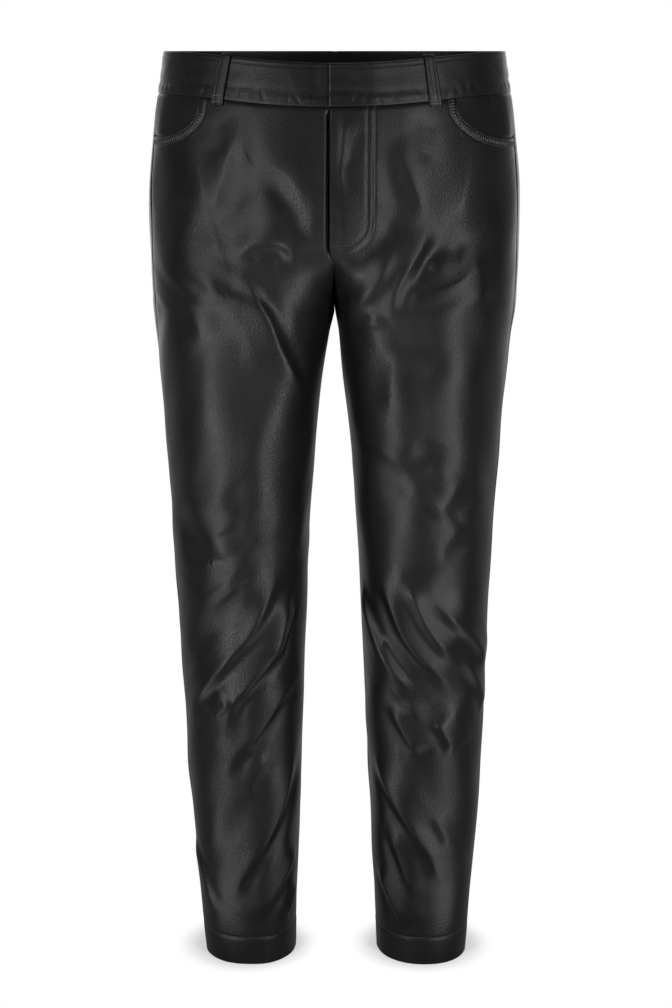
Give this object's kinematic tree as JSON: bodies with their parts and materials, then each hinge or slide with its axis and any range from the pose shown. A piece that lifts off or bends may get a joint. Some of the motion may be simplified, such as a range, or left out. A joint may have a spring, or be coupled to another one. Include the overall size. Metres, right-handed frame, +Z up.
{
  "type": "faux leather trousers",
  "caption": "Slim ankle-length faux leather trousers in worn hollow form, with lapped fly, curved hip pockets, waistband and belt loops.",
  "frame": {"origin": "middle of the waist at half the waistband's height, where the wearer holds the trousers up", "axes": "+Z up towards the waist, the front faces -Y, the wearer's left is +X"},
  "size_m": [0.373, 0.2405, 0.9519],
  "materials": {
    "faux_leather": "fine-grained black faux leather with a soft satin sheen",
    "zip_tape": "black woven zip tape with a closed coil"
  },
  "bodies": {
    "root": {"front_left_thigh": "faux_leather", "front_left_knee": "faux_leather", "front_left_shin": "faux_leather", "front_right_thigh": "faux_leather", "front_right_knee": "faux_leather", "front_right_shin": "faux_leather", "back_left_thigh": "faux_leather", "back_left_knee": "faux_leather", "back_left_shin": "faux_leather", "back_right_thigh": "faux_leather", "back_right_knee": "faux_leather", "back_right_shin": "faux_leather", "pocket_facing_left": "faux_leather", "pocket_facing_right": "faux_leather", "waistband_left": "faux_leather", "waistband_right": "faux_leather", "fly_shield": "faux_leather", "fly_zip": "zip_tape", "belt_loop_front_left": "faux_leather", "belt_loop_front_right": "faux_leather", "belt_loop_back_left": "faux_leather", "belt_loop_back_right": "faux_leather", "belt_loop_back_centre": "faux_leather"}
  },
  "joints": []
}
